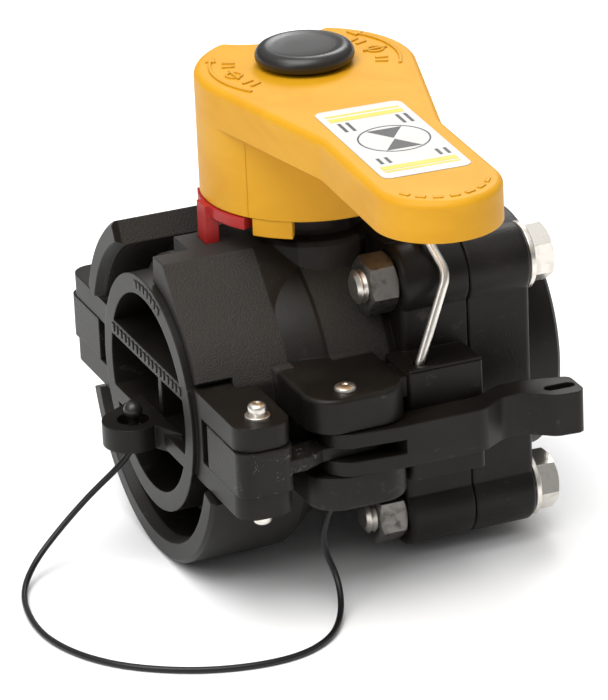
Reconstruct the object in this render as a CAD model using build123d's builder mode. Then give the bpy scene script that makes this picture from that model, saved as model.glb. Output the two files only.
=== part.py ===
"""Quarter-turn ball valve with a dry-disconnect coupling half, its dust plug and its tether.

Frame: origin at the centre of the pipe hub's open end, +X along the flow axis out of the hub,
+Z up the stem, and the handle reaching out towards -Y. Lengths along the valve are stations,
counted from the coupling face: station 0 is the face and station LENGTH is the hub's open end.
"""

from build123d import *
import math
import os

os.makedirs("parts", exist_ok=True)

# ---- driving dimensions, in millimetres and degrees ----
LENGTH = 107.5  # coupling face to hub end
STEM_AT = 50.0  # station of the ball's centre and the stem's axis
FIT = 0.05  # radial clearance of every running fit

BALL_R = 28.0
BORE_R = 19.0  # flow passage
SEAT_GAP = 0.1  # seat face to ball

SHELL_R, SHELL_INNER_R, SHELL_END = 47.5, 40.5, 27.0
BARREL_R, SWELL_R = 36.5, 39.0
SOCKET_R = 33.4
SHOULDER_TOP = 41.0  # height of the flat pad on top of the barrel

FLANGE_AT, SEAM_AT, CAP_END = 58.0, 77.0, 95.5
FLANGE_HALF, LOBE_R, BOLT_OFF = 41.3, 10.0, 33.6
HUB_R, THREAD_R, THREAD_LEN = 35.0, 28.6, 25.0
BOLT_R, BOLT_HOLE_R, HEX_FLATS = 4.76, 5.1, 14.29
WASHER_T, HEAD_T, NUT_T = 1.7, 6.2, 8.2

STEM_R, STEM_SQUARE, STEM_TOP = 9.0, 12.0, 79.5
HANDLE_TURN = -2.5  # how far the closed handle stands past square to the flow
DRUM_R, DRUM_BOTTOM, DRUM_TOP, DRUM_WALL = 30.0, 52.0, 86.0, 3.6
PADDLE_T, PADDLE_REACH, TIP_R, WAIST_AT = 11.0, 95.0, 16.9, 57.0

RING_R, RING_INNER_R = 33.0, 27.6
PLATE_IN, PLATE_OUT, PLATE_HALF = 6.35, 13.0, 63.8
PIN_A = (9.5, -57.0)  # plug pin: station and Y
PIN_B = (34.5, -57.0)  # lever pivot
PIN_C = (40.5, -56.0)  # link pivot on the lever, just past the line of the other two
PLUG_PIN_R, LEVER_PIN_R, LINK_PIN_R = 2.5, 2.4, 2.0
TONGUE_T = 3.6  # thickness of the link's tongue, which runs in a slot in the lever

CORD_R = 0.85
EYE = (-5.0, -1.0)  # centre of the tether eye: station and Y


# ---- planes ----
def across(station):
    """A plane square to the flow: local x is +Y and local y is +Z."""
    return Plane(origin=(station - LENGTH, 0, 0), x_dir=(0, 1, 0), z_dir=(1, 0, 0))


def plan(height):
    """A level plane: local x is the station and local y is +Y."""
    return Plane(origin=(-LENGTH, 0, height), x_dir=(1, 0, 0), z_dir=(0, 0, 1))


def radial(angle):
    """A plane through the flow axis: local x is the station, local y points out at this angle from +Y."""
    a = math.radians(angle)
    return Plane(origin=(-LENGTH, 0, 0), x_dir=(1, 0, 0), z_dir=(0, -math.sin(a), math.cos(a)))


def handle_plan(height):
    """A level plane centred on the stem: local x runs along the paddle, towards its tip."""
    a = math.radians(-90 + HANDLE_TURN)
    return Plane(
        origin=(STEM_AT - LENGTH, 0, height), x_dir=(math.cos(a), math.sin(a), 0), z_dir=(0, 0, 1)
    )


def stem_plane():
    """The upright plane through the stem: local x is the distance from the stem's axis."""
    return Plane(origin=(STEM_AT - LENGTH, 0, 0), x_dir=(1, 0, 0), z_dir=(0, -1, 0))


STEM_AXIS = Axis((STEM_AT - LENGTH, 0, 0), (0, 0, 1))
BOLT_SPOTS = [(y * BOLT_OFF, z * BOLT_OFF) for y in (-1, 1) for z in (-1, 1)]


def ring_profile(points):
    """A closed profile from (station, radius) points, on the plane that is current."""
    Polygon(*points, align=None)


def save(part, label):
    part.label = label
    export_step(part, f"parts/{label}.step")


def flange_outline():
    """Square flange face with a round lobe about each bolt."""
    Rectangle(2 * FLANGE_HALF, 2 * FLANGE_HALF)
    fillet(vertices().group_by(Axis.X)[0] + vertices().group_by(Axis.X)[-1], LOBE_R - 2)
    with Locations(*BOLT_SPOTS):
        Circle(LOBE_R)


# ---- blanks with rounded edges: the body's flange and its lever lugs ----
with BuildPart() as flange_blank:
    with BuildSketch(across(FLANGE_AT)):
        flange_outline()
    extrude(amount=SEAM_AT - FLANGE_AT)
    fillet(flange_blank.faces().sort_by(Axis.X)[0].outer_wire().edges(), 1.6)
    fillet(flange_blank.faces().sort_by(Axis.X)[-1].outer_wire().edges(), 0.7)

with BuildPart() as lug_blank:
    with BuildSketch(plan(6.4)):
        with BuildLine():
            Polyline((23, -34), (23, -63.5), (51, -63.5), (51, -34), close=True)
        make_face()
        fillet(vertices().sort_by(Axis.Y)[:2], 8.5)
    extrude(amount=9.6)
    upper_rim = lug_blank.faces().sort_by(Axis.Z)[-1].edges()
    fillet(upper_rim.filter_by(lambda e: e.center().Y < -35), 1.2)
    mirror(about=Plane.XZ)

# ---- body: barrel, coupling shell, flange, stem boss and lugs ----
with BuildPart() as body:
    # swelling barrel round the ball
    with BuildSketch(radial(0)):
        ring_profile([(12, 0), (12, BARREL_R), (28, BARREL_R), (38, SWELL_R), (FLANGE_AT + 1, SWELL_R),
                      (FLANGE_AT + 1, 0)])
    revolve(axis=Axis.X)
    # shoulders that rise from the barrel to the pad under the handle
    with BuildSketch(across(12)):
        Polygon((-26.5, 25.05), (-11.5, SHOULDER_TOP), (6, SHOULDER_TOP), (6, 25.05), align=None)
    extrude(amount=12)
    with BuildSketch(across(21.9)):
        Polygon((-26.5, 25.05), (-11.5, SHOULDER_TOP), (11.5, SHOULDER_TOP), (26.5, 25.05), align=None)
    extrude(amount=FLANGE_AT + 1 - 21.9)
    # saddle: the part of the barrel that comes forward over the near side
    with BuildSketch(across(2)):
        Circle(BARREL_R)
        Polygon((-26.5, 25.05), (-11.5, SHOULDER_TOP), (0, SHOULDER_TOP), (0, 0), align=None)
        Polygon((0, 0), (-80, 35.4), (-80, 80), (-9, 80), align=None, mode=Mode.INTERSECT)
    extrude(amount=12)
    # coupling shell: a far upper quarter and the whole lower side
    shell = [(0, SHELL_INNER_R + 1.5), (0, SHELL_R - 1), (1, SHELL_R), (SHELL_END, SHELL_R), (39.5, 38.5),
             (39.5, 30), (24, 30), (24, SHELL_INNER_R), (3, SHELL_INNER_R)]
    for start, sweep_angle in ((19.2, 43), (199, 142)):
        with BuildSketch(radial(start)):
            ring_profile(shell)
        revolve(axis=Axis.X, revolution_arc=sweep_angle)
    add(flange_blank.part)
    # stem boss and gland
    with BuildSketch(stem_plane()):
        with BuildLine():
            Polyline((0, 24), (20, 24), (20, 40.6), (18.8, 41.8), (14.2, 41.8), (13.4, 43), (13.4, 48.4),
                     (12.6, 49.2), (0, 49.2), close=True)
        make_face()
    revolve(axis=STEM_AXIS)
    # lever lugs, upper and lower, near and far
    add(lug_blank.part)
    add(mirror(lug_blank.part, about=Plane.XY, mode=Mode.PRIVATE))
    # pads that carry the bail and stop the levers
    with BuildSketch(plan(-15.5)):
        with Locations((64, -47.5), (64, 47.5)):
            Rectangle(22, 16)
        fillet(vertices(), 1.5)
    extrude(amount=31)
    # hollows: plug socket, passage, seat pocket, ball chamber
    with BuildSketch(radial(0)):
        ring_profile([(-1, 0), (-1, SOCKET_R), (24, SOCKET_R), (24, BORE_R + 0.5), (27.5, BORE_R + 0.5),
                      (27.5, 26.1), (35, 26.1), (35, 29), (SEAM_AT + 1, 29), (SEAM_AT + 1, 0)])
    revolve(axis=Axis.X, mode=Mode.SUBTRACT)
    with BuildSketch(stem_plane()):
        with BuildLine():
            Polyline((0, 20), (12.4, 20), (12.4, 31.6), (STEM_R + FIT, 31.6), (STEM_R + FIT, 50), (0, 50),
                     close=True)
        make_face()
    revolve(axis=STEM_AXIS, mode=Mode.SUBTRACT)
    # bolt holes, lever pivot holes, bail sockets and the latch slot
    with BuildSketch(across(FLANGE_AT - 10)):
        with Locations(*BOLT_SPOTS):
            Circle(BOLT_HOLE_R)
    extrude(amount=SEAM_AT - FLANGE_AT + 10, mode=Mode.SUBTRACT)
    with BuildSketch(plan(-20)):
        with Locations(PIN_B, (PIN_B[0], -PIN_B[1])):
            Circle(LEVER_PIN_R)
    extrude(amount=40, mode=Mode.SUBTRACT)
    with BuildSketch(plan(7)):
        with Locations((59, -49.8), (59, 49.8)):
            Circle(1.8)
    extrude(amount=9, mode=Mode.SUBTRACT)
    with BuildSketch(plan(34.6)):
        with Locations((20, 0)):
            Rectangle(4.4, 6.6)
    extrude(amount=12, mode=Mode.SUBTRACT)
save(body.part, "body")

# ---- end cap: flange, threaded hub and spigot ----
with BuildPart() as end_cap:
    with BuildSketch(across(SEAM_AT + 0.1)):
        flange_outline()
    extrude(amount=CAP_END - SEAM_AT - 0.1)
    fillet(end_cap.faces().sort_by(Axis.X)[-1].outer_wire().edges(), 1.6)
    fillet(end_cap.faces().sort_by(Axis.X)[0].outer_wire().edges(), 0.7)
    with BuildSketch(radial(0)):
        ring_profile([(72.5, BORE_R), (72.5, 28.8), (74.2, 28.8), (74.2, 27.0), (76.2, 27.0), (76.2, 28.8),
                      (CAP_END - 2, 28.8), (CAP_END - 2, HUB_R + 1.6), (CAP_END + 0.4, HUB_R + 1.6),
                      (CAP_END + 2, HUB_R), (LENGTH - 1.2, HUB_R), (LENGTH, HUB_R - 1.2), (LENGTH, BORE_R)])
    revolve(axis=Axis.X)
    with BuildSketch(radial(0)):
        ring_profile([(72, 0), (72, BORE_R + 0.5), (LENGTH - THREAD_LEN, BORE_R + 0.5),
                      (LENGTH - THREAD_LEN, THREAD_R), (LENGTH + 1, THREAD_R), (LENGTH + 1, 0)])
    revolve(axis=Axis.X, mode=Mode.SUBTRACT)
    with BuildSketch(across(SEAM_AT)):
        with Locations(*BOLT_SPOTS):
            Circle(BOLT_HOLE_R)
    extrude(amount=CAP_END, mode=Mode.SUBTRACT)
save(end_cap.part, "end_cap")

# ---- ball, seats and seals ----
with BuildPart() as ball:
    with Locations((STEM_AT - LENGTH, 0, 0)):
        Sphere(BALL_R)
        Cylinder(BORE_R, 3 * BALL_R, rotation=(90, 0, 0), mode=Mode.SUBTRACT)
    with BuildSketch(plan(21)):
        with Locations((STEM_AT, 0)):
            Rectangle(3 * BALL_R, 8.1)
    extrude(amount=10, mode=Mode.SUBTRACT)
save(ball.part, "ball")

SEAT_R, SEAT_IN = 26.0, BORE_R + 0.6
with BuildPart() as seat:
    with BuildSketch(radial(0)):
        with BuildLine():
            touch = math.sqrt((BALL_R + SEAT_GAP) ** 2 - SEAT_IN**2)
            lip = math.sqrt((BALL_R + SEAT_GAP) ** 2 - 14**2)
            face_mid = (BALL_R + SEAT_GAP) / math.hypot(17, 22)
            inner = (STEM_AT - touch, SEAT_IN)
            rim = (STEM_AT - 14, lip)
            ThreePointArc(inner, (STEM_AT - 17 * face_mid, 22 * face_mid), rim)
            Polyline(rim, (STEM_AT - 14, SEAT_R), (27.6, SEAT_R), (27.6, SEAT_IN), inner)
        make_face()
    revolve(axis=Axis.X)
save(seat.part, "front_seat")
save(mirror(seat.part, about=across(STEM_AT)), "rear_seat")

with BuildPart() as cap_o_ring:
    with BuildSketch(radial(0)):
        with Locations((75.2, 28.0)):
            Circle(0.9)
    revolve(axis=Axis.X)
save(cap_o_ring.part, "cap_o_ring")

with BuildPart() as stem_o_rings:
    with BuildSketch(stem_plane()):
        with Locations((8.15, 36), (8.15, 43)):
            Circle(0.8)
    revolve(axis=STEM_AXIS)
save(stem_o_rings.part, "stem_o_rings")

with BuildPart() as thrust_washer:
    with BuildSketch(plan(30.4)):
        with Locations((STEM_AT, 0)):
            Circle(12.2)
            Circle(STEM_R + 0.1, mode=Mode.SUBTRACT)
    extrude(amount=1.1)
save(thrust_washer.part, "thrust_washer")

# ---- stem: tang, shoulder, grooved shaft and square ----
with BuildPart() as stem:
    with BuildSketch(stem_plane()):
        with BuildLine():
            Polyline((0, 28.4), (12.1, 28.4), (12.1, 30.3), (STEM_R, 30.3), (STEM_R, 35), (7.3, 35), (7.3, 37),
                     (STEM_R, 37), (STEM_R, 42), (7.3, 42), (7.3, 44), (STEM_R, 44), (STEM_R, 51), (0, 51),
                     close=True)
        make_face()
    revolve(axis=STEM_AXIS)
    with BuildSketch(plan(21.1)):
        with Locations((STEM_AT, 0)):
            Rectangle(20, 8)
    extrude(amount=7.5)
    with BuildSketch(handle_plan(50)):
        Rectangle(STEM_SQUARE, STEM_SQUARE)
        chamfer(vertices(), 1)
    extrude(amount=STEM_TOP - 50)
    with BuildSketch(plan(STEM_TOP - 16)):
        with Locations((STEM_AT, 0)):
            Circle(2.5)
    extrude(amount=17, mode=Mode.SUBTRACT)
save(stem.part, "stem")

# ---- flange bolts, washers and nuts ----
with BuildPart() as flange_bolts:
    with BuildSketch(across(47.4)):
        with Locations(*BOLT_SPOTS):
            Circle(BOLT_R)
    extrude(amount=CAP_END + WASHER_T - 47.4)
    chamfer(flange_bolts.faces().group_by(Axis.X)[0].edges(), 0.8)
    with BuildSketch(across(CAP_END + WASHER_T)):
        with Locations(*BOLT_SPOTS):
            RegularPolygon(HEX_FLATS / 2, 6, major_radius=False, rotation=8)
    extrude(amount=HEAD_T)
save(flange_bolts.part, "flange_bolts")

with BuildPart() as flange_washers:
    with BuildSketch(across(CAP_END)):
        with Locations(*BOLT_SPOTS):
            Circle(9.2)
            Circle(BOLT_R + 0.15, mode=Mode.SUBTRACT)
    extrude(amount=WASHER_T)
save(flange_washers.part, "flange_washers")

with BuildPart() as flange_nuts:
    with BuildSketch(across(FLANGE_AT - NUT_T)):
        with Locations(*BOLT_SPOTS):
            RegularPolygon(HEX_FLATS / 2, 6, major_radius=False, rotation=20)
            Circle(BOLT_R, mode=Mode.SUBTRACT)
    extrude(amount=NUT_T)
save(flange_nuts.part, "flange_nuts")

# ---- handle: scalloped drum, paddle and stop tab in one moulding ----
NOTCH_AT, NOTCH_R = -43.0, 22.5
notch_x = (DRUM_R**2 - NOTCH_R**2 + NOTCH_AT**2) / (2 * NOTCH_AT)  # where the notch meets the rim
rim_turn = math.degrees(math.acos(notch_x / DRUM_R))
notch_turn = math.degrees(math.acos((notch_x - NOTCH_AT) / NOTCH_R))
lead_turn = math.degrees(math.atan2(TIP_R, WAIST_AT) + math.acos(DRUM_R / math.hypot(TIP_R, WAIST_AT)))

with BuildPart() as handle:
    with BuildSketch(handle_plan(DRUM_BOTTOM)):
        Circle(DRUM_R)
        with Locations((NOTCH_AT, 0)):
            Circle(NOTCH_R, mode=Mode.SUBTRACT)
    extrude(amount=DRUM_TOP - DRUM_BOTTOM - PADDLE_T)
    with BuildSketch(handle_plan(DRUM_TOP - PADDLE_T)):
        with BuildLine():
            left_rim = CenterArc((0, 0), DRUM_R, lead_turn, rim_turn - lead_turn)
            CenterArc((NOTCH_AT, 0), NOTCH_R, notch_turn, -2 * notch_turn)
            right_rim = CenterArc((0, 0), DRUM_R, -rim_turn, rim_turn - lead_turn)
            Polyline(right_rim @ 1, (WAIST_AT, -TIP_R), (PADDLE_REACH, -TIP_R))
            ThreePointArc((PADDLE_REACH, -TIP_R), (PADDLE_REACH + TIP_R, 0), (PADDLE_REACH, TIP_R))
            Polyline((PADDLE_REACH, TIP_R), (WAIST_AT, TIP_R), left_rim @ 0)
        make_face()
        fillet(vertices().filter_by(lambda v: abs(v.X - WAIST_AT) < 0.1), 14)
    extrude(amount=PADDLE_T)
    fillet(handle.edges().filter_by(Axis.Z).filter_by(lambda e: e.center().Y > 15), 3)
    fillet(handle.faces().sort_by(Axis.Z)[-1].edges(), 2)
    # hollow underside, leaving a core round the stem
    with BuildSketch(handle_plan(DRUM_BOTTOM)):
        Circle(DRUM_R - DRUM_WALL)
        with Locations((NOTCH_AT, 0)):
            Circle(NOTCH_R + DRUM_WALL, mode=Mode.SUBTRACT)
        Circle(11.5, mode=Mode.SUBTRACT)
    extrude(amount=22, mode=Mode.SUBTRACT)
    with BuildSketch(handle_plan(DRUM_BOTTOM)):
        Rectangle(STEM_SQUARE + 0.1, STEM_SQUARE + 0.1)
    extrude(amount=30, mode=Mode.SUBTRACT)
    with BuildSketch(handle_plan(80)):
        Circle(8.5)
    extrude(amount=10, mode=Mode.SUBTRACT)
    # stop tab below the rim
    with BuildSketch(plan(DRUM_BOTTOM - 5)):
        with BuildLine():
            outer = CenterArc((STEM_AT, 0), DRUM_R - 0.3, -144, 22)
            inner = CenterArc((STEM_AT, 0), DRUM_R - DRUM_WALL, -144, 22)
            Line(outer @ 0, inner @ 0)
            Line(outer @ 1, inner @ 1)
        make_face()
    extrude(amount=7)
save(handle.part, "handle")

with BuildPart() as handle_screw:
    with BuildSketch(stem_plane()):
        with BuildLine():
            Polyline((0, 65), (2.5, 65), (2.5, 80.1), (7, 80.1), (7, 82.2), (5.5, 83.2), (0, 83.2), close=True)
        make_face()
    revolve(axis=STEM_AXIS)
save(handle_screw.part, "handle_screw")

with BuildPart() as handle_cap:
    with BuildSketch(stem_plane()):
        with BuildLine():
            Polyline((0, 83.4), (8.3, 83.4), (8.3, 86.9), (12.4, 86.9), (13.4, 87.9), (13.4, 89.6), (11.7, 91.5),
                     (0, 91.5), close=True)
        make_face()
    revolve(axis=STEM_AXIS)
    fillet(handle_cap.edges().filter_by(GeomType.CIRCLE).group_by(Axis.Z)[-1], 1.2)
save(handle_cap.part, "handle_cap")

with BuildPart() as handle_label:
    with BuildSketch(handle_plan(DRUM_TOP)):
        with Locations((64.5, 0)):
            RectangleRounded(52, 24.2, 2.5)
    extrude(amount=0.2)
save(handle_label.part, "handle_label")

# ---- interlock latch under the drum, with its return spring ----
with BuildPart() as latch:
    with BuildSketch(plan(48.4)):
        with BuildLine():
            outer = CenterArc((STEM_AT, 0), 30.6, 158, 54)
            inner = CenterArc((STEM_AT, 0), 23.5, 158, 54)
            Line(outer @ 0, inner @ 0)
            Line(outer @ 1, inner @ 1)
        make_face()
    extrude(amount=3.2)
    with BuildSketch(plan(38.1)):
        with Locations((20, 0)):
            Rectangle(3.8, 6)
    extrude(amount=13.5)
save(latch.part, "latch")

with BuildPart() as latch_spring:
    with BuildLine() as coil:
        Helix(pitch=1.62, height=6.48, radius=1.7, center=(24.6 - LENGTH, 7, SHOULDER_TOP + 0.42))
    with BuildSketch(Plane(origin=coil.line @ 0, z_dir=coil.line % 0)):
        Circle(0.35)
    sweep(path=coil.line, is_frenet=True)
save(latch_spring.part, "latch_spring")

# ---- dust plug: cup, two yoke plates, centre rib and tether eye ----
with BuildPart() as dust_plug:
    with BuildSketch(radial(0)):
        ring_profile([(0, RING_INNER_R), (0, RING_R), (14, RING_R), (14, 31.4), (16.6, 31.4), (16.6, RING_R),
                      (20, RING_R), (20, 0), (16.5, 0), (16.5, RING_INNER_R)])
    revolve(axis=Axis.X)
    for sign in (1, -1):
        low = PLATE_IN if sign > 0 else -PLATE_OUT
        with BuildSketch(plan(low)):
            for side in (-1, 1):
                with BuildLine():
                    Polyline((1.4, side * 31), (1.4, side * PLATE_HALF), (17.2, side * PLATE_HALF),
                             (17.2, side * 37.6), (11.6, side * 37.6), (11.6, side * 31), close=True)
                make_face()
            fillet(vertices().filter_by(lambda v: abs(v.Y) > 60), 5.5)
        extrude(amount=PLATE_OUT - PLATE_IN)
        with BuildSketch(plan(sign * 10 - 2.2)):
            with Locations((6.6, 0)):
                Rectangle(13.2, 62.0)
        extrude(amount=4.4)
    # webs outside the cup, and the rib between the plates
    with BuildSketch(plan(-8)):
        with Locations((6.5, 34.2), (6.5, -34.2)):
            Rectangle(10.2, 4.4)
        with Locations((10, 0)):
            Rectangle(13, 2.4)
    extrude(amount=16)
    # tether eye in front of the lower plate
    with BuildSketch(plan(-PLATE_OUT)):
        with Locations((-5.5, -1)):
            Circle(8.2)
        Polygon((3, 14), (3, -17), (-1.5, -8.2), (-8, 6.8), align=None)
    extrude(amount=PLATE_OUT - PLATE_IN)
    with BuildSketch(plan(-PLATE_IN - 3.4)):
        with Locations(EYE):
            Circle(4.4)
    extrude(amount=4, mode=Mode.SUBTRACT)
    with BuildSketch(plan(-PLATE_OUT)):
        with Locations(EYE):
            Circle(CORD_R + 0.25)
    extrude(amount=5, mode=Mode.SUBTRACT)
    with BuildSketch(plan(-20)):
        with Locations(PIN_A, (PIN_A[0], -PIN_A[1])):
            Circle(PLUG_PIN_R)
    extrude(amount=40, mode=Mode.SUBTRACT)
save(dust_plug.part, "dust_plug")

with BuildPart() as plug_o_ring:
    with BuildSketch(radial(0)):
        with Locations((15.3, 32.3)):
            Circle(0.9)
    revolve(axis=Axis.X)
save(plug_o_ring.part, "plug_o_ring")

# ---- the two sides: pins, levers and hook links, built near and mirrored to the far side ----
for side_name in ("near", "far"):
    with BuildPart() as plug_pin:
        with BuildSketch(plan(-17.2)):
            with Locations(PIN_A):
                Circle(PLUG_PIN_R)
        extrude(amount=34.4)
        fillet(plug_pin.edges().group_by(Axis.Z)[0] + plug_pin.edges().group_by(Axis.Z)[-1], 1.4)
        for height in (PLATE_OUT, -PLATE_OUT - 1):
            with BuildSketch(plan(height)):
                with Locations(PIN_A):
                    Circle(3.4)
            extrude(amount=1)

    with BuildPart() as lever_pins:
        for low, high, head in ((2.1, 16, 16), (-16, -2.1, -17.3)):
            with BuildSketch(plan(low)):
                with Locations(PIN_B):
                    Circle(LEVER_PIN_R)
            extrude(amount=high - low)
            with BuildSketch(plan(head)):
                with Locations(PIN_B):
                    Circle(3)
            extrude(amount=1.3)
        fillet(lever_pins.edges().group_by(Axis.Z)[0] + lever_pins.edges().group_by(Axis.Z)[-1], 1.1)

    with BuildPart() as link_pin:
        with BuildSketch(plan(-5.9)):
            with Locations(PIN_C):
                Circle(LINK_PIN_R)
        extrude(amount=11.8)

    with BuildPart() as lever:
        with BuildSketch(plan(-6)):
            with BuildLine():
                Polyline((34.5, -49.5), (41, -51.5), (48, -57), (72, -57), (80, -52.6), (88, -53), (99.5, -56.2),
                         (99.5, -67), (91, -66.2), (84, -60.3), (78, -60.6), (70.5, -65.5), (46, -65.6),
                         (34.5, -64.5), close=True)
            make_face()
            fillet(vertices().filter_by(lambda v: 69 < v.X < 92), 6)
            fillet(vertices().filter_by(lambda v: v.X > 98), 2.4)
            with Locations(PIN_B):
                Circle(7.5)
            with Locations((94.2, -61.2)):
                SlotOverall(8.6, 3.2, rotation=-2, mode=Mode.SUBTRACT)
        extrude(amount=12)
        with BuildSketch(plan(-TONGUE_T / 2 - 0.2)):
            with BuildLine():
                Polyline((20, -48), (45, -48), (45, -56), (49.4, -70), (20, -70), close=True)
            make_face()
        extrude(amount=TONGUE_T + 0.4, mode=Mode.SUBTRACT)
        with BuildSketch(plan(-7)):
            with Locations(PIN_B):
                Circle(LEVER_PIN_R + FIT)
            with Locations(PIN_C):
                Circle(LINK_PIN_R)
        extrude(amount=14, mode=Mode.SUBTRACT)

    with BuildPart() as link:
        with BuildSketch(plan(-6.2)):
            with BuildLine():
                Polyline((1.2, -41), (5.8, -41), (5.8, -59.9), (17, -59.9), (17, -64.6), (1.2, -64.6), close=True)
            make_face()
            fillet(vertices().filter_by(lambda v: v.Y < -64), 4)
        extrude(amount=12.4)
        with BuildSketch(plan(-TONGUE_T / 2)):
            with BuildLine():
                Polyline((14, -63.5), (14, -59.9), (18, -55), (30, -52.3), (PIN_C[0], PIN_C[1] + 3.9),
                         (PIN_C[0], PIN_C[1] - 3.9), (26, -60.6), (20, -63.5), close=True)
            make_face()
            with Locations(PIN_C):
                Circle(3.9)
        extrude(amount=TONGUE_T)
        with BuildSketch(plan(-4)):
            with Locations(PIN_C):
                Circle(LINK_PIN_R + FIT)
        extrude(amount=8, mode=Mode.SUBTRACT)

    for noun, piece in (("plug_pin", plug_pin), ("lever_pins", lever_pins), ("link_pin", link_pin),
                        ("lever", lever), ("link", link)):
        solid = piece.part if side_name == "near" else mirror(piece.part, about=Plane.XZ)
        save(solid, f"{side_name}_{noun}")

# ---- wire bail over the flange ----
with BuildPart() as wire_bail:
    with BuildLine() as bail_line:
        FilletPolyline(
            (59 - LENGTH, -49.8, 8), (59 - LENGTH, -49.8, 15.4), (69.3 - LENGTH, -46, 38), (67 - LENGTH, -39.5, 45.4),
            (67 - LENGTH, 39.5, 45.4), (69.3 - LENGTH, 46, 38), (59 - LENGTH, 49.8, 15.4), (59 - LENGTH, 49.8, 8),
            radius=[3, 7, 3.5, 3.5, 7, 3],
        )
    with BuildSketch(Plane(origin=bail_line.line @ 0, z_dir=bail_line.line % 0)):
        Circle(1.3)
    sweep(path=bail_line.line)
save(wire_bail.part, "wire_bail")

# ---- tether: ball end, cord and the crimp under the near lug ----
CRIMP = (32.0, -50.0)

with BuildPart() as tether_ball:
    with BuildSketch(Plane(origin=(EYE[0] - LENGTH, EYE[1], 0), x_dir=(1, 0, 0), z_dir=(0, -1, 0))):
        with BuildLine():
            ThreePointArc((0, -1.2), (2.6, -3.8), (1.5, -5.9))
            Polyline((1.5, -5.9), (1.1, -9.7), (0, -9.7), (0, -1.2))
        make_face()
    revolve(axis=Axis((EYE[0] - LENGTH, EYE[1], 0), (0, 0, 1)))
save(tether_ball.part, "tether_ball")

with BuildPart() as tether_crimp:
    with BuildSketch(plan(-20)):
        with Locations(CRIMP):
            Circle(1.9)
    extrude(amount=4)
    chamfer(tether_crimp.edges().group_by(Axis.Z)[0], 0.5)
save(tether_crimp.part, "tether_crimp")

ROUTE = [
    (*EYE, -9.7), (-5, -1, -14), (-8.5, 1, -20), (-17.5, 3, -28), (-27, 3, -36.5), (-36, 0, -43.5),
    (-43, -10, -46.6), (-46.4, -26, -46.6), (-46, -40, -46.6), (-40.8, -54, -46.6), (-31, -66, -46.6),
    (-14, -76.5, -46.6), (6, -80, -46.6), (20, -74.5, -46.6), (28.5, -63, -46), (31.4, -54.5, -40),
    (29, -50.5, -32), (29.6, -50, -25), (*CRIMP, -20),
]


def cord_radii(points, share=0.45):
    """The largest arc that each corner's two runs allow."""
    corners = []
    for before, here, after in zip(points, points[1:], points[2:]):
        run_in = Vector(*here) - Vector(*before)
        run_out = Vector(*after) - Vector(*here)
        turn = math.radians(run_in.get_angle(run_out))
        corners.append(share * min(run_in.length, run_out.length) / math.tan(turn / 2))
    return corners


route = [(x - LENGTH, y, z) for x, y, z in ROUTE]
radii = cord_radii(route)
print("cord radii", [round(r, 1) for r in radii])
with BuildPart() as tether_cord:
    with BuildLine() as cord_line:
        FilletPolyline(*route, radius=radii)
    with BuildSketch(Plane(origin=cord_line.line @ 0, z_dir=cord_line.line % 0)):
        Circle(CORD_R)
    sweep(path=cord_line.line)
cord_length = sum(e.length for e in cord_line.edges())
print("cord length", round(cord_length, 1), "volume", round(tether_cord.part.volume, 1),
      "expected", round(cord_length * math.pi * CORD_R**2, 1))
save(tether_cord.part, "tether_cord")
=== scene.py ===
# %% [markdown]
# # A quarter-turn ball valve with a lever-locked dust plug
# The measured solids come from the CAD model and stay where they are. This script gives them their
# finishes, replaces a few plain ones with more finely made pieces, and adds the small moulded details,
# the lights and the camera. Everything is in metres, with +X out of the pipe hub and +Z up the stem.

# %% Load the frame
import bmesh
import bpy
import math
from mathutils import Matrix, Vector


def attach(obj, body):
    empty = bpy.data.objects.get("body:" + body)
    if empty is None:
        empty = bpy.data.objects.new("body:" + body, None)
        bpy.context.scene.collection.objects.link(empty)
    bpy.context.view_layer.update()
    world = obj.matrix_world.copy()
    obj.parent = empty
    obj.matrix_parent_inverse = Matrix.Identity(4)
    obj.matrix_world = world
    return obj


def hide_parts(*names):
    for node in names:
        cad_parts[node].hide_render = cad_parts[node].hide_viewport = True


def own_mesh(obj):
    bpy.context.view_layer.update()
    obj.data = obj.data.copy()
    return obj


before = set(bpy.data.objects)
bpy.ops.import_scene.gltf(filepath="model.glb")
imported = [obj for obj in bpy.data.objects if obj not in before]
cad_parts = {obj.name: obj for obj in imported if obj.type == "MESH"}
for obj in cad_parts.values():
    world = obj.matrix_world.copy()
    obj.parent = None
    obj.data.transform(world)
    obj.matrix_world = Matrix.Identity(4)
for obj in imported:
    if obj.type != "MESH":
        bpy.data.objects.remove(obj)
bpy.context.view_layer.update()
MM = 0.001
LENGTH = 107.5  # coupling face to hub end, in millimetres
STEM_AT = 50.0  # station of the stem


def at(station, y, z):
    """A point from its station along the valve, its Y and its height, all in millimetres."""
    return Vector(((station - LENGTH) * MM, y * MM, z * MM))


# %% [markdown]
# ## The camera
# A long lens from far off keeps the parallel edges of a small machine part nearly parallel. The camera
# is stated the way a photographer would set it: which point it aims at, how far round and how high it
# stands, and how far away. The small roll is the tilt of the tripod.

# %% Camera
AIM = (-0.06639, -0.01227, 0.00876)
AZIMUTH, ELEVATION, ROLL = -21.63, 23.17, -2.60
DISTANCE, LENS = 1.28914, 244.63

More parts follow.
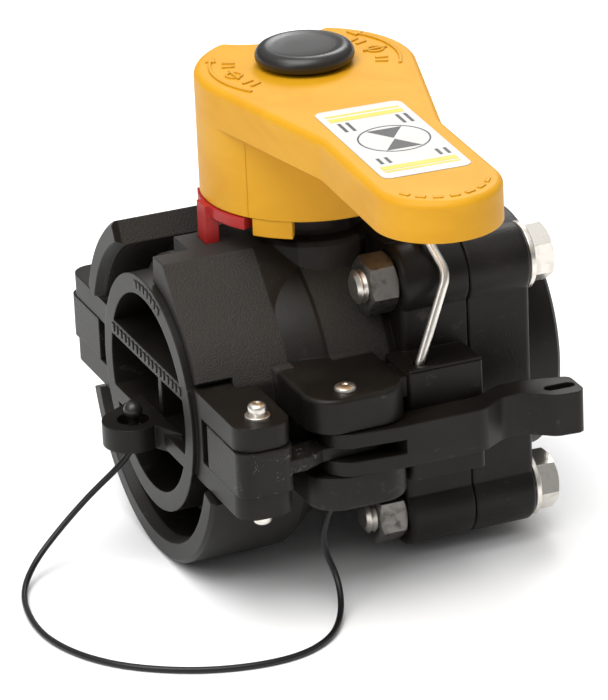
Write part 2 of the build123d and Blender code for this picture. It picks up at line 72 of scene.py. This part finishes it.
turn, rise, tilt = (math.radians(angle) for angle in (AZIMUTH, ELEVATION, ROLL))
back = Vector((math.sin(turn) * math.cos(rise), -math.cos(turn) * math.cos(rise), math.sin(rise)))
level = Vector((math.cos(turn), math.sin(turn), 0))
upright = back.cross(level)
right = math.cos(tilt) * level + math.sin(tilt) * upright
up = -math.sin(tilt) * level + math.cos(tilt) * upright
camera = bpy.data.objects.new("camera", bpy.data.cameras.new("camera"))
camera.data.lens = LENS
camera.data.clip_end = 20
camera.matrix_world = Matrix.Translation(Vector(AIM) + DISTANCE * back) @ Matrix(
    (right, up, back)).transposed().to_4x4()
bpy.context.scene.collection.objects.link(camera)
bpy.context.scene.camera = camera
print("camera at", [round(v, 3) for v in camera.matrix_world.translation])

# %% [markdown]
# ## The tether
# A thin plastic-covered cord holds the dust plug to the valve. It leaves the ball in the plug's eye,
# falls to the floor, lies in one open curve and climbs to the crimp under the near lug. A spline through
# a few control points gives the easy bends of a springy cord, where straight runs would look like wire.

# %% The cord
CORD_DIAMETER = 0.0017
ROUTE = [
    (-5, -1, -9.7), (-5, -1, -14), (-8.5, 1, -20), (-17.5, 3, -28), (-27, 3, -36.5), (-36, 0, -43.5),
    (-43, -10, -46.6), (-46.4, -26, -46.6), (-46, -40, -46.6), (-40.8, -54, -46.6), (-31, -66, -46.6),
    (-14, -76.5, -46.6), (6, -80, -46.6), (20, -74.5, -46.6), (28.5, -63, -46), (31.4, -54.5, -40),
    (29, -50.5, -32), (29.6, -50, -25), (32, -50, -20),
]


def tube_curve(name, points, diameter):
    """A smooth round tube along control points, as a NURBS curve. The thickness is held by the points,
    since a curve's bounding box is its points widened by their radius."""
    curve = bpy.data.curves.new(name, "CURVE")
    curve.dimensions = "3D"
    curve.bevel_depth = 1
    curve.bevel_resolution = 6
    curve.resolution_u = 12
    curve.use_fill_caps = True
    spline = curve.splines.new("NURBS")
    spline.points.add(len(points) - 1)
    for point, place in zip(spline.points, points):
        point.co = (*place, 1)
        point.radius = diameter / 2
    spline.order_u = 3
    spline.use_endpoint_u = True
    obj = bpy.data.objects.new(name, curve)
    bpy.context.scene.collection.objects.link(obj)
    return obj


tether = tube_curve("tether_line", [at(*point) for point in ROUTE], CORD_DIAMETER)
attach(tether, "plug_assembly")
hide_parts("tether_cord")
print("tether control points:", len(ROUTE))

# %% [markdown]
# ## The studio
# A pale floor that runs on past the view, and a surround that is bright overhead and dim at the sides, so
# that black plastic shows its form. A wide soft sun stands for the big light above, and two broad lamps
# draw the long highlights.

# %% Floor, surround and lights
FLOOR_Z, FLOOR_HALF_SIDE = -0.04755, 12
DIM_BELOW, BRIGHT_ABOVE = 0.15, 0.75  # heights of the sky's direction, from level at 0 to overhead at 1
DIM_SKY, BRIGHT_SKY = 0.12, 0.72


def flat_material(name, colour, roughness):
    material = bpy.data.materials.new(name)
    material.use_nodes = True
    shader = material.node_tree.nodes["Principled BSDF"]
    shader.inputs["Base Color"].default_value = (*colour, 1)
    shader.inputs["Roughness"].default_value = roughness
    return material


floor_shape = bmesh.new()
bmesh.ops.create_grid(floor_shape, x_segments=2, y_segments=2, size=FLOOR_HALF_SIDE,
                      matrix=Matrix.Translation((0, 0, FLOOR_Z)))
floor_mesh = bpy.data.meshes.new("floor")
floor_shape.to_mesh(floor_mesh)
floor_shape.free()
floor_mesh.materials.append(flat_material("floor_paper", (0.92, 0.92, 0.92), 0.9))
floor = bpy.data.objects.new("floor", floor_mesh)
bpy.context.scene.collection.objects.link(floor)

world = bpy.data.worlds.new("surround")
world.use_nodes = True
sky = world.node_tree
sky_direction = sky.nodes.new("ShaderNodeTexCoord")
sky_split = sky.nodes.new("ShaderNodeSeparateXYZ")
sky_ramp = sky.nodes.new("ShaderNodeMapRange")
for socket, value in (("From Min", DIM_BELOW), ("From Max", BRIGHT_ABOVE), ("To Min", DIM_SKY),
                      ("To Max", BRIGHT_SKY)):
    sky_ramp.inputs[socket].default_value = value
sky.links.new(sky_direction.outputs["Generated"], sky_split.inputs[0])
sky.links.new(sky_split.outputs["Z"], sky_ramp.inputs["Value"])
sky.links.new(sky_ramp.outputs[0], sky.nodes["Background"].inputs["Strength"])
sky.nodes["Background"].inputs["Color"].default_value = (1, 1, 1, 1)
bpy.context.scene.world = world


def lamp(name, kind, place, target, power, size):
    """A lamp at a place, turned to a target; a sun's size is its angle and its power its strength."""
    light = bpy.data.lights.new(name, kind)
    light.energy = power
    if kind == "SUN":
        light.angle = size
    else:
        light.shape, light.size = "DISK", size
    obj = bpy.data.objects.new(name, light)
    direction = Vector(target) - Vector(place)
    obj.matrix_world = Matrix.Translation(place) @ direction.to_track_quat("-Z", "Y").to_matrix().to_4x4()
    bpy.context.scene.collection.objects.link(obj)
    return obj


CENTRE = (-0.055, -0.01, 0.01)
lamp("tent_light", "SUN", (-0.35, -0.25, 1.0), CENTRE, 2.75, math.radians(50))
lamp("left_softbox", "AREA", (-0.95, -0.45, 0.65), CENTRE, 2.0, 0.45)
lamp("back_softbox", "AREA", (0.45, 0.75, 0.75), CENTRE, 4.0, 0.4)
bpy.context.scene.view_settings.view_transform = "Standard"
print("floor at", FLOOR_Z)

# %% [markdown]
# ## A small language for finishes
# Shader graphs are easier to read as arithmetic. A Number wraps a socket, so that writing a + b adds a
# Math node, and a Finish keeps one material with a single method that adds any other node.


# %% Numbers and finishes
class Number:
    """A value in a shader, on which Python's arithmetic adds Math nodes."""

    def __init__(self, finish, socket):
        self.finish, self.socket = finish, socket

    def _math(self, operation, first, second):
        return self.finish.number("ShaderNodeMath", {"operation": operation}, {0: first, 1: second})

    def __add__(self, other): return self._math("ADD", self, other)
    def __radd__(self, other): return self._math("ADD", other, self)
    def __sub__(self, other): return self._math("SUBTRACT", self, other)
    def __rsub__(self, other): return self._math("SUBTRACT", other, self)
    def __mul__(self, other): return self._math("MULTIPLY", self, other)
    def __rmul__(self, other): return self._math("MULTIPLY", other, self)

    def ramp(self, low, high):
        """0 below low, 1 above high, with a smooth step between."""
        return self.finish.number("ShaderNodeMapRange", {"interpolation_type": "SMOOTHSTEP"},
                                  {"Value": self, "From Min": low, "From Max": high})


class Finish:
    """One material, made from its nodes."""

    def __init__(self, name, roughness=0.5, metallic=0.0, coat=0.0, coat_roughness=0.1, specular=0.5):
        self.material = bpy.data.materials.new(name)
        self.material.use_nodes = True
        self.tree = self.material.node_tree
        self.shader = self.tree.nodes["Principled BSDF"]
        for socket, value in (("Roughness", roughness), ("Metallic", metallic), ("Coat Weight", coat),
                              ("Coat Roughness", coat_roughness), ("Specular IOR Level", specular)):
            self.shader.inputs[socket].default_value = value
        self.coords = self.node("ShaderNodeTexCoord").outputs["Object"]

    def node(self, kind, settings=None, inputs=None):
        made = self.tree.nodes.new(kind)
        for key, value in (settings or {}).items():
            setattr(made, key, value)
        for key, value in (inputs or {}).items():
            value = value.socket if isinstance(value, Number) else value
            if isinstance(value, bpy.types.NodeSocket):
                self.tree.links.new(value, made.inputs[key])
            else:
                made.inputs[key].default_value = value
        return made

    def number(self, kind, settings=None, inputs=None, output=0):
        return Number(self, self.node(kind, settings, inputs).outputs[output])

    def noise(self, scale, detail=2.0, distortion=0.0, coords=None):
        """Soft random values from 0 to 1, with about this many blobs to the metre."""
        return self.number("ShaderNodeTexNoise", {"noise_dimensions": "3D"},
                           {"Vector": coords or self.coords, "Scale": scale, "Detail": detail,
                            "Distortion": distortion})

    def stretched(self, scale):
        """Object coordinates, scaled by axis."""
        return self.node("ShaderNodeMapping", {}, {"Vector": self.coords, "Scale": scale}).outputs[0]

    def place(self):
        """The three Object coordinates, as Numbers in metres."""
        split = self.node("ShaderNodeSeparateXYZ", {}, {0: self.coords})
        return [Number(self, split.outputs[k]) for k in range(3)]

    def blend(self, mask, first, second):
        """A colour that goes from first to second with the mask."""
        mix = self.node("ShaderNodeMix", {"data_type": "RGBA"}, {0: mask, 6: first, 7: second})
        return mix.outputs[2]

    def relief(self, height, distance, strength=1.0, normal=None):
        """A bumped normal from a height Number."""
        inputs = {"Height": height, "Distance": distance, "Strength": strength}
        if normal is not None:
            inputs["Normal"] = normal
        return self.node("ShaderNodeBump", {}, inputs).outputs[0]

    def soft_edges(self, radius):
        """The normal of an edge broken by this radius, as on every moulding."""
        return self.node("ShaderNodeBevel", {"samples": 6}, {"Radius": radius}).outputs[0]

    def set(self, socket, value):
        value = value.socket if isinstance(value, Number) else value
        self.tree.links.new(value, self.shader.inputs[socket])
        return self


def grey(value, warm=0.0):
    return (value * (1 + warm), value, value * (1 - warm), 1)


# %% [markdown]
# ## Black glass-filled nylon
# Most of the valve is moulded in black nylon with glass fibre in it. It is nearly black and neither
# glossy nor flat, with a fine mould grain, and handling leaves faint pale rubs on it. The coarse variant
# is the sparked mould texture on the barrel, and the worn one has the pale specks of a part that has
# been knocked about. On the body, the sparked bands of the upper faces are also painted a lighter grey:
# a painted highlight where the light from above falls, over their real coarse texture.


# %% Nylon finishes
def nylon(name, grain=0.00003, grain_scale=2600, base=0.0052, worn=0.0, edge=0.0006, patches=None):
    finish = Finish(name, roughness=0.42, specular=0.22)
    cloud = finish.noise(55, 3)
    rubs = finish.noise(420, 4, 0.6, finish.stretched((0.5, 1, 1)))
    colour = finish.blend(cloud.ramp(0.35, 0.7), grey(base, 0.2), grey(base * 1.9, 0.2))
    scuffs = rubs.ramp(0.62, 0.74) * cloud.ramp(0.4, 0.6) * (0.22 + worn)
    colour = finish.blend(scuffs, colour, grey(0.10, 0.04))
    grain_height = finish.noise(grain_scale, 2)
    rough = 0.36 + cloud * 0.14 + scuffs * 0.25
    depth = grain_height
    if worn:
        specks = finish.noise(1500, 3, 1.2)
        marks = specks.ramp(0.62, 0.70) * finish.noise(230, 2).ramp(0.50, 0.62)
        colour = finish.blend(marks * 0.8, colour, grey(0.26, 0.05))
        rough = rough + marks * 0.2
        depth = depth + marks * 0.8
    normal = finish.soft_edges(edge)
    if patches:
        station, across, height = finish.place()
        # the sparked bands: a real coarse texture in their bump and roughness, and a painted highlight in their colour
        sparked_and_highlight = 0
        for low, high in patches:
            start, end = ((low - LENGTH) * MM, (high - LENGTH) * MM)
            band = station.ramp(start - 0.0003, start + 0.0003) * (1 - station.ramp(end - 0.0003, end + 0.0003))
            sparked_and_highlight = band + sparked_and_highlight
        sparked_and_highlight = sparked_and_highlight * height.ramp(0.011, 0.013) * across.ramp(-0.0385, -0.037)
        coarse = finish.noise(2100, 3)
        # painted highlight: the sparked bands on the upper faces are painted a lighter grey where the light from above
        # falls
        colour = finish.blend(sparked_and_highlight * 0.8, colour, grey(0.032, 0.1))
        rough = rough + sparked_and_highlight * 0.12
        normal = finish.relief(coarse, 0.00028, sparked_and_highlight * 1.0, normal)
    finish.set("Base Color", colour)
    finish.set("Roughness", rough)
    finish.set("Normal", finish.relief(depth, grain, 1.0, normal))
    return finish.material


body_nylon = nylon("black_nylon_body", patches=[(2, 28), (39, 56)])
plain_nylon = nylon("black_nylon")
grained_nylon = nylon("black_nylon_grained", grain=0.00009, grain_scale=1700)
worn_nylon = nylon("black_nylon_worn", grain=0.00006, worn=0.55, edge=0.0007)
print("nylon finishes made")


# %% [markdown]
# ## Metals
# The bolts and pins are satin stainless steel, turned and rolled, so fine streaks run round and along
# them. The nuts are duller, with dark stains.

# %% Metal finishes
def metal(name, colour, stain, roughness, stained=0.35):
    finish = Finish(name, roughness=roughness, metallic=1.0)
    blotch = finish.noise(300, 4, 0.8)
    streak = finish.noise(90, 4, 0, finish.stretched((60, 14, 14)))
    mask = blotch.ramp(0.45, 0.75) * stained
    finish.set("Base Color", finish.blend(mask, (*colour, 1), (*stain, 1)))
    finish.set("Roughness", roughness - 0.06 + streak * 0.14 + mask * 0.2)
    finish.set("Normal", finish.relief(streak + blotch * 0.5, 0.00003, 0.7, finish.soft_edges(0.00025)))
    return finish.material


stainless = metal("stainless_steel", (0.80, 0.76, 0.70), (0.42, 0.38, 0.33), 0.30)
dull_steel = metal("dull_steel", (0.26, 0.245, 0.23), (0.075, 0.068, 0.06), 0.40, stained=0.85)
print("metal finishes made")


# %% [markdown]
# ## Coloured plastics, rubber and the cord's sheath
# The handle is yellow and slightly waxy, with faint flow marks from the mould, and the latch is red.
# The cap on the handle is black with a little gloss.

# %% Plastic finishes
def plastic(name, colour, shade, roughness, grain=0.00002, coat=0.0, edge=0.0005, specular=0.5):
    finish = Finish(name, roughness=roughness, coat=coat, coat_roughness=0.25, specular=specular)
    flow = finish.noise(38, 4, 1.5, finish.stretched((1, 0.6, 1.8)))
    fine = finish.noise(2200, 2)
    spots = finish.noise(900, 2).ramp(0.70, 0.78) * 0.12
    tone = finish.blend(flow.ramp(0.3, 0.75), (*colour, 1), (*shade, 1))
    finish.set("Base Color", finish.blend(spots, tone, (*[c * 0.6 for c in shade], 1)))
    finish.set("Roughness", roughness - 0.05 + flow * 0.12)
    finish.set("Normal", finish.relief(fine + flow * 3.0, grain, 1.0, finish.soft_edges(edge)))
    return finish.material


yellow = plastic("yellow_handle", (0.64, 0.315, 0.006), (0.60, 0.28, 0.004), 0.5, grain=0.00006, specular=0.3)
red = plastic("red_latch", (0.40, 0.018, 0.016), (0.33, 0.012, 0.010), 0.42, specular=0.35)
cap_black = plastic("black_cap", (0.010, 0.009, 0.008), (0.015, 0.013, 0.012), 0.36, coat=0.05)
sheath = plastic("cord_sheath", (0.004, 0.004, 0.004), (0.008, 0.008, 0.008), 0.34, specular=0.35)
ptfe = plastic("white_ptfe", (0.82, 0.82, 0.80), (0.75, 0.75, 0.72), 0.35)
rubber = plastic("seal_rubber", (0.012, 0.012, 0.012), (0.02, 0.02, 0.02), 0.55)
label_white = plastic("label_paper", (0.60, 0.59, 0.57), (0.55, 0.54, 0.52), 0.4, grain=0.000008, edge=0.0001)
print_dark = plastic("label_print_dark", (0.03, 0.03, 0.032), (0.045, 0.045, 0.045), 0.4, grain=0.000005, edge=0.0001)
print_gold = plastic("label_print_gold", (0.70, 0.55, 0.06), (0.62, 0.48, 0.05), 0.4, grain=0.000005, edge=0.0001)
print("plastic finishes made")

# %% [markdown]
# ## Making turned and hexagonal pieces
# Bolts, washers, pins and the handle's cap are all turned: one profile, swept once round an axis. A hex
# head is a hexagonal bar with its corners turned off by a cone, so it starts as a circle of many sides
# that is drawn out to a hexagon, and the cone gives each rim point its height.


# %% Turned and hexagonal shapes
MERGE = 0.000002  # points nearer than this, in metres, are made one
CHAMFER, CHAMFER_START = math.radians(30), 0.955  # a head's cone, and the share of its flats where it begins


def aimed(place, axis):
    """A transform from a piece's own +Z to an axis through a place."""
    return Matrix.Translation(place) @ Vector(axis).to_track_quat("Z", "Y").to_matrix().to_4x4()


def finished(name, shape, body, material, smooth=35):
    """The bmesh as an object that rides on a body."""
    bmesh.ops.remove_doubles(shape, verts=shape.verts, dist=MERGE)
    bmesh.ops.recalc_face_normals(shape, faces=shape.faces)
    mesh = bpy.data.meshes.new(name)
    shape.to_mesh(mesh)
    shape.free()
    mesh.materials.append(material)
    mesh.shade_smooth()
    mesh.set_sharp_from_angle(angle=math.radians(smooth))
    piece = bpy.data.objects.new(name, mesh)
    bpy.context.scene.collection.objects.link(piece)
    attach(piece, body)
    print(name, "faces:", len(mesh.polygons))
    return piece


def turn_profile(shape, profile, transform, steps=48):
    """Sweep (radius, height) points, in millimetres, round the axis, and add them to the shape."""
    points = [shape.verts.new(transform @ Vector((r * MM, 0, h * MM))) for r, h in profile]
    edges = [shape.edges.new(pair) for pair in zip(points, points[1:])]
    axis = transform.to_3x3() @ Vector((0, 0, 1))
    bmesh.ops.spin(shape, geom=points + edges, cent=transform.translation, axis=axis, dvec=(0, 0, 0),
                   angle=math.tau, steps=steps, use_merge=True)


def hexagon(shape, flats, rows, transform):
    """A hexagonal head built up in rows of (radius or None for the hexagon, height, cone side)."""
    ring = CHAMFER_START * flats / 2
    face = bmesh.ops.create_circle(shape, cap_ends=True, segments=96, radius=1)["verts"][0].link_faces[0]
    made = []
    for number, (radius, height, side) in enumerate(rows):
        if number:
            below = face
            grown = bmesh.ops.extrude_face_region(shape, geom=[below])["geom"]
            face = next(part for part in grown if isinstance(part, bmesh.types.BMFace))
        if number > 1:
            bmesh.ops.delete(shape, geom=[below], context="FACES_ONLY")
        for vert in face.verts:
            corner = math.atan2(vert.co.y, vert.co.x) % (math.pi / 3) - math.pi / 6
            reach = radius or flats / 2 / math.cos(corner)
            cut = side * max(0.0, reach - ring) * math.tan(CHAMFER)
            vert.co = (*(vert.co.xy.normalized() * reach), height - cut)
        made += list(face.verts)
    bmesh.ops.transform(shape, matrix=transform @ Matrix.Scale(MM, 4), verts=made)


print("helpers ready")

# %% [markdown]
# ## Flange bolts, washers and nuts
# Four bolts clamp the end cap to the body. Their heads and the washers show at the hub end, and the
# duller nuts at the other, each with a thread or two of its bolt standing proud.

# %% Bolts, washers and nuts
BOLT_OFF, CAP_END, WASHER_T, HEAD_T, NUT_END, NUT_T = 33.6, 95.5, 1.7, 6.2, 49.8, 8.2
HEX_FLATS, RING = 14.29, 6.82
bolts, washers, nuts = bmesh.new(), bmesh.new(), bmesh.new()
for index, (y, z) in enumerate((y * BOLT_OFF, z * BOLT_OFF) for y in (-1, 1) for z in (-1, 1)):
    head_turn = Matrix.Rotation(math.radians(8 + 17 * index), 4, "Z")
    nut_turn = Matrix.Rotation(math.radians(20 - 9 * index), 4, "Z")
    head = aimed(at(CAP_END + WASHER_T, y, z), (1, 0, 0)) @ head_turn
    hexagon(bolts, HEX_FLATS, [(6.9, 0, 0), (6.9, 0.35, 0), (None, 0.36, 0), (None, HEAD_T, 1), (RING, HEAD_T, 0),
                               (RING - 0.5, HEAD_T - 0.02, 0), (RING - 0.8, HEAD_T - 0.22, 0)], head)
    shank = [(0, 0), (3.3, 0), (4.0, 0.5), (4.7, 1.0), (4.0, 1.8), (4.72, 2.6), (4.0, 3.4), (4.0, 50.2), (0, 50.2)]
    turn_profile(bolts, shank, aimed(at(47.4, y, z), (1, 0, 0)))
    hexagon(nuts, HEX_FLATS, [(4.5, 0.7, 0), (5.6, 0, 0), (RING, 0, 0), (None, 0, -1), (None, NUT_T, 1),
                              (RING, NUT_T, 0)], aimed(at(NUT_END, y, z), (1, 0, 0)) @ nut_turn)
    rim = [(5.0, 0), (8.9, 0), (9.2, 0.3), (9.2, 1.4), (8.9, 1.7), (5.0, 1.7), (5.0, 0)]
    turn_profile(washers, rim, aimed(at(CAP_END, y, z), (1, 0, 0)))
bolt_set = finished("bolt_set", bolts, "root", stainless)
nut_set = finished("nut_set", nuts, "root", dull_steel)
washer_set = finished("washer_set", washers, "root", stainless)
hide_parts("flange_bolts")
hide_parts("flange_nuts")
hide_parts("flange_washers")

# %% [markdown]
# ## Pins and rivets
# Each side has a long pin through the plug's two plates, with a groove and a collar at each end, and a
# short domed rivet in each lug that carries the lever. They are turned, so they are profiles too.

# %% Pins and rivets
PLUG_PIN_AT, LEVER_PIN_AT, PIN_OUT = 9.5, 34.5, 57
for side, sign in (("near", -1), ("far", 1)):
    pins, rivets = bmesh.new(), bmesh.new()
    upper = [(3.4, 13.02), (3.4, 13.85), (3.25, 14.0), (2.5, 14.0), (2.12, 14.15), (2.12, 14.6), (2.5, 14.8),
             (2.5, 16.2), (2.2, 16.8), (1.7, 17.15), (1.0, 17.2), (0.7, 17.0), (0, 16.95)]
    lower = [(radius, -height) for radius, height in reversed(upper)]
    turn_profile(pins, lower + [(2.45, -13.0), (2.45, 13.0)] + upper,
                 aimed(at(PLUG_PIN_AT, sign * PIN_OUT, 0), (0, 0, 1)))
    for end in (1, -1):
        dome = [(0, 2.3), (2.35, 2.3), (2.35, 16.0), (3.0, 16.0), (3.0, 16.35), (2.8, 16.8), (2.3, 17.1), (1.5, 17.28),
                (0.9, 17.28), (0.6, 17.0), (0, 16.95)]
        turn_profile(rivets, [(r, end * h) for r, h in dome],
                     aimed(at(LEVER_PIN_AT, sign * PIN_OUT, 0), (0, 0, 1)))
    pin = finished(f"{side}_turned_pin", pins, "plug_assembly", stainless)
    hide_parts(f"{side}_plug_pin")
    rivet = finished(f"{side}_rivets", rivets, "root", stainless)
    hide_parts(f"{side}_lever_pins")

# %% [markdown]
# ## The cap on the handle
# A mushroom-shaped plug covers the handle's screw. Its rim is full and round, and its top is very
# slightly dished, which is what draws a bright ring of light round it.

# %% Handle cap
cap_shape = bmesh.new()
cap_profile = [(0, 83.4), (8.3, 83.4), (8.3, 86.9), (11.9, 86.9), (12.7, 87.1), (13.25, 87.7), (13.45, 88.5),
               (13.35, 89.4), (12.95, 90.2), (12.3, 90.9), (11.5, 91.3), (10.7, 91.45), (10.0, 91.4), (9.3, 91.2),
               (8.2, 91.08), (4.0, 91.0), (0, 91.0)]
turn_profile(cap_shape, cap_profile, aimed(at(STEM_AT, 0, 0), (0, 0, 1)), steps=96)
cap_piece = finished("cap_mushroom", cap_shape, "handle_assembly", cap_black, smooth=50)
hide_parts("handle_cap")

# %% [markdown]
# ## Raised marks on the handle
# Two curved arrows on the drum show which way the handle turns, and a ring with a bar beside each says
# shut or open. They stand half a millimetre proud of the moulding. The print on the label is a generic
# sign: the draughtsman's symbol for a valve in a ring, between bars.

# %% Marks and label print
HANDLE_ANGLE = math.radians(-92.5)
DRUM_TOP, LABEL_TOP = 86.0, 86.2
MARK_FOOT = DRUM_TOP - 0.2  # the marks start a little below the surface, so that they meet it
ARC_RADIUS, SIGN_RADIUS = 25.6, 20.6
ARROW_TURN = 9  # degrees of the arc that an arrowhead takes
DASH_RING_OUT = 0.095  # along the handle, in metres


def slab(shape, outline, low, high, transform=Matrix.Identity(4)):
    """A flat plate between two heights, from an outline of (x, y) points, all in millimetres."""
    corners = [shape.verts.new((x, y, low)) for x, y in outline]
    base = shape.faces.new(corners)
    lifted = bmesh.ops.extrude_face_region(shape, geom=[base])["geom"]
    top = [part for part in lifted if isinstance(part, bmesh.types.BMVert)]
    bmesh.ops.translate(shape, vec=(0, 0, high - low), verts=top)
    bmesh.ops.transform(shape, matrix=transform @ Matrix.Scale(MM, 4), verts=corners + top)


def ring_points(x, y, radius, start=0.0, sweep=360.0, count=40):
    """Points along a circle's arc, by angles in degrees."""
    turns = [math.radians(start + sweep * k / (count if sweep == 360 else count - 1)) for k in range(count)]
    return [(x + radius * math.cos(t), y + radius * math.sin(t)) for t in turns]


def arc_band(shape, x, y, radius, width, start, sweep, low, high, transform):
    """A curved bar; a full ring is made as two halves."""
    parts = ((start, sweep),) if sweep < 360 else ((0, 180), (180, 180))
    for first, span in parts:
        outer = ring_points(x, y, radius + width / 2, first, span, 24)
        inner = ring_points(x, y, radius - width / 2, first, span, 24)
        slab(shape, outer + inner[::-1], low, high, transform)


stem_frame = Matrix.Translation(at(STEM_AT, 0, 0))
along_handle = stem_frame @ Matrix.Rotation(HANDLE_ANGLE, 4, "Z")
marks = bmesh.new()
for start, sweep, tip in ((152, 62, 152), (-30, 62, 32)):
    arc_band(marks, 0, 0, ARC_RADIUS, 0.8, start, sweep, MARK_FOOT, DRUM_TOP + 0.45, stem_frame)
    point = math.radians(tip + (-ARROW_TURN if tip == start else ARROW_TURN))
    base = math.radians(tip)
    slab(marks, [(26.9 * math.cos(base), 26.9 * math.sin(base)), (25.4 * math.cos(point), 25.4 * math.sin(point)),
                 (24.1 * math.cos(base), 24.1 * math.sin(base))], MARK_FOOT, DRUM_TOP + 0.45, stem_frame)
for middle, bar_turn in ((181, 90), (1, 0)):
    x, y = SIGN_RADIUS * math.cos(math.radians(middle)), SIGN_RADIUS * math.sin(math.radians(middle))
    arc_band(marks, x, y, 2.1, 0.7, 0, 360, MARK_FOOT, DRUM_TOP + 0.4, stem_frame)
    sign_frame = Matrix.Translation(at(STEM_AT + x, y, 0)) @ Matrix.Rotation(math.radians(middle + bar_turn), 4, "Z")
    slab(marks, [(-3.4, -0.35), (3.4, -0.35), (3.4, 0.35), (-3.4, 0.35)], MARK_FOOT, DRUM_TOP + 0.5, sign_frame)
    for offset in (-27, -19, 19, 27):
        t = math.radians(middle + offset)
        dash = Matrix.Translation(at(STEM_AT + SIGN_RADIUS * math.cos(t), SIGN_RADIUS * math.sin(t), 0))
        dash = dash @ Matrix.Rotation(t, 4, "Z")
        slab(marks, [(-1.7, -0.4), (1.7, -0.4), (1.7, 0.4), (-1.7, 0.4)], MARK_FOOT, DRUM_TOP + 0.4, dash)
for offset in range(-3, 4):
    t = math.radians(offset * 19)
    dash = along_handle @ Matrix.Translation((DASH_RING_OUT, 0, 0)) @ Matrix.Rotation(t, 4, "Z")
    slab(marks, [(12.6, -1.3), (13.8, -1.3), (13.8, 1.3), (12.6, 1.3)], MARK_FOOT, DRUM_TOP + 0.3, dash)
# the mould's parting line down the skirt
seam = stem_frame @ Matrix.Rotation(math.radians(-146), 4, "Z")
slab(marks, [(29.9, -0.18), (30.12, -0.12), (30.12, 0.12), (29.9, 0.18)], 52.2, 76.0, seam)
finished("handle_marks", marks, "handle_assembly", yellow)

dark_print, gold_print = bmesh.new(), bmesh.new()
PRINT = (LABEL_TOP - 0.02, LABEL_TOP + 0.05)
for tip, far in ((64.2, 57.2), (65.0, 72.0)):
    slab(dark_print, [(tip, 0.6), (far, -4.2), (far, 5.4)], *PRINT, along_handle)
arc_band(dark_print, 64.6, 0.6, 9.3, 0.45, 0, 360, *PRINT, along_handle)
for x, width in ((42.4, 1.1), (44.6, 2.6), (82.4, 2.6), (85.6, 1.1)):
    slab(gold_print, [(x, -10.2), (x + width, -10.2), (x + width, 10.2), (x, 10.2)], *PRINT, along_handle)
for x, length in ((48.6, 6.5), (76.4, 4.2)):
    for y in (-8.6, -6.4, 7.4, 9.6):
        slab(dark_print, [(x, y - 0.45), (x + length, y - 0.45), (x + length, y + 0.45), (x, y + 0.45)], *PRINT,
             along_handle)
finished("label_dark_print", dark_print, "handle_assembly", print_dark)
finished("label_gold_print", gold_print, "handle_assembly", print_gold)

# %% [markdown]
# ## Small moulded details on the black parts
# The plug's ring and its upper bar carry small raised dashes. The far shell has a hooked rib inside, and
# the pads that carry the bail have a raised plate and a foot.

# %% Moulded details
moulded = bmesh.new()
for k in range(-9, 9):
    width = (1.5, 1.1, 1.7)[k % 3]
    dash = Matrix.Translation(at(0, 2.95 * k + 1.4, 10)) @ Matrix.Rotation(math.radians(-90), 4, "Y")
    slab(moulded, [(-1.15, -width / 2), (1.15, -width / 2), (1.15, width / 2), (-1.15, width / 2)], -0.3, 0.28, dash)
for k in range(-3, 4):
    turn_about = Matrix.Rotation(math.radians(5.2 * k + 6), 4, "X")
    dash = Matrix.Translation(at(0, 0, 0)) @ turn_about @ Matrix.Rotation(math.radians(-90), 4, "Y")
    slab(moulded, [(29.2, -0.9), (31.4, -0.9), (31.4, 0.9), (29.2, 0.9)], -0.3, 0.22, dash)
finished("plug_marks", moulded, "plug_assembly", plain_nylon)

body_bits = bmesh.new()
# hooked rib inside the far shell
hook = Matrix.Translation(at(20, 0, 0)) @ Matrix.Rotation(math.radians(90), 4, "Y")
for low, high, start, sweep in ((-1.4, 1.6, 132, 12), (1.4, 5.5, 139, 5)):
    outer = ring_points(0, 0, 40.9, start, sweep, 10)
    inner = ring_points(0, 0, 38.2, start, sweep, 10)
    slab(body_bits, outer + inner[::-1], low, high, hook)
for sign in (-1, 1):  # the plate and the foot of each bail pad
    pad = Matrix.Translation(at(64, sign * 47.5, 15.4))
    slab(body_bits, [(-10.6, sign * 7.6), (10.6, sign * 7.6), (10.6, sign * 6.4), (-10.6, sign * 6.4)][::sign],
         0, 0.9, pad)
    slab(body_bits, [(-13.4, sign * -3.0), (-10.4, sign * -3.0), (-10.4, sign * 7.0), (-13.4, sign * 7.0)][::sign],
         -6.5, -0.6, pad)
finished("body_marks", body_bits, "root", plain_nylon)

# %% [markdown]
# ## The latch's spring
# The spring keeps its measured shape at rest, and is drawn as a piece of its own, with a mesh of its own.

# %% Latch spring
coils = bmesh.new()
coils.from_mesh(bpy.data.objects["latch_spring"].data)
press_spring = finished("press_spring", coils, "root", stainless)
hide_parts("latch_spring")
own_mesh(press_spring)

# %% [markdown]
# ## Finishes for the measured solids
# Most parts keep their measured shape and only need a material. The table below names one finish for each
# part; parts that were rebuilt above already carry their own.

# %% Finishes for the measured solids
FINISH_OF = {
    "body": body_nylon, "end_cap": grained_nylon, "ball": plain_nylon, "front_seat": ptfe, "rear_seat": ptfe,
    "cap_o_ring": rubber, "stem_o_rings": rubber, "plug_o_ring": rubber, "thrust_washer": ptfe, "stem": stainless,
    "handle": yellow, "handle_screw": stainless, "handle_label": label_white, "latch": red,
    "dust_plug": plain_nylon, "near_link_pin": stainless, "far_link_pin": stainless, "near_lever": plain_nylon,
    "far_lever": plain_nylon, "near_link": worn_nylon, "far_link": worn_nylon, "wire_bail": stainless,
    "tether_ball": cap_black, "tether_crimp": cap_black,
}
for node, material in FINISH_OF.items():
    solid = bpy.data.objects[node]
    for slot in solid.material_slots:
        slot.material = material
    if not solid.material_slots:
        print("no slot on", node)
tether.data.materials.append(sheath)
print("finished solids:", len(FINISH_OF))
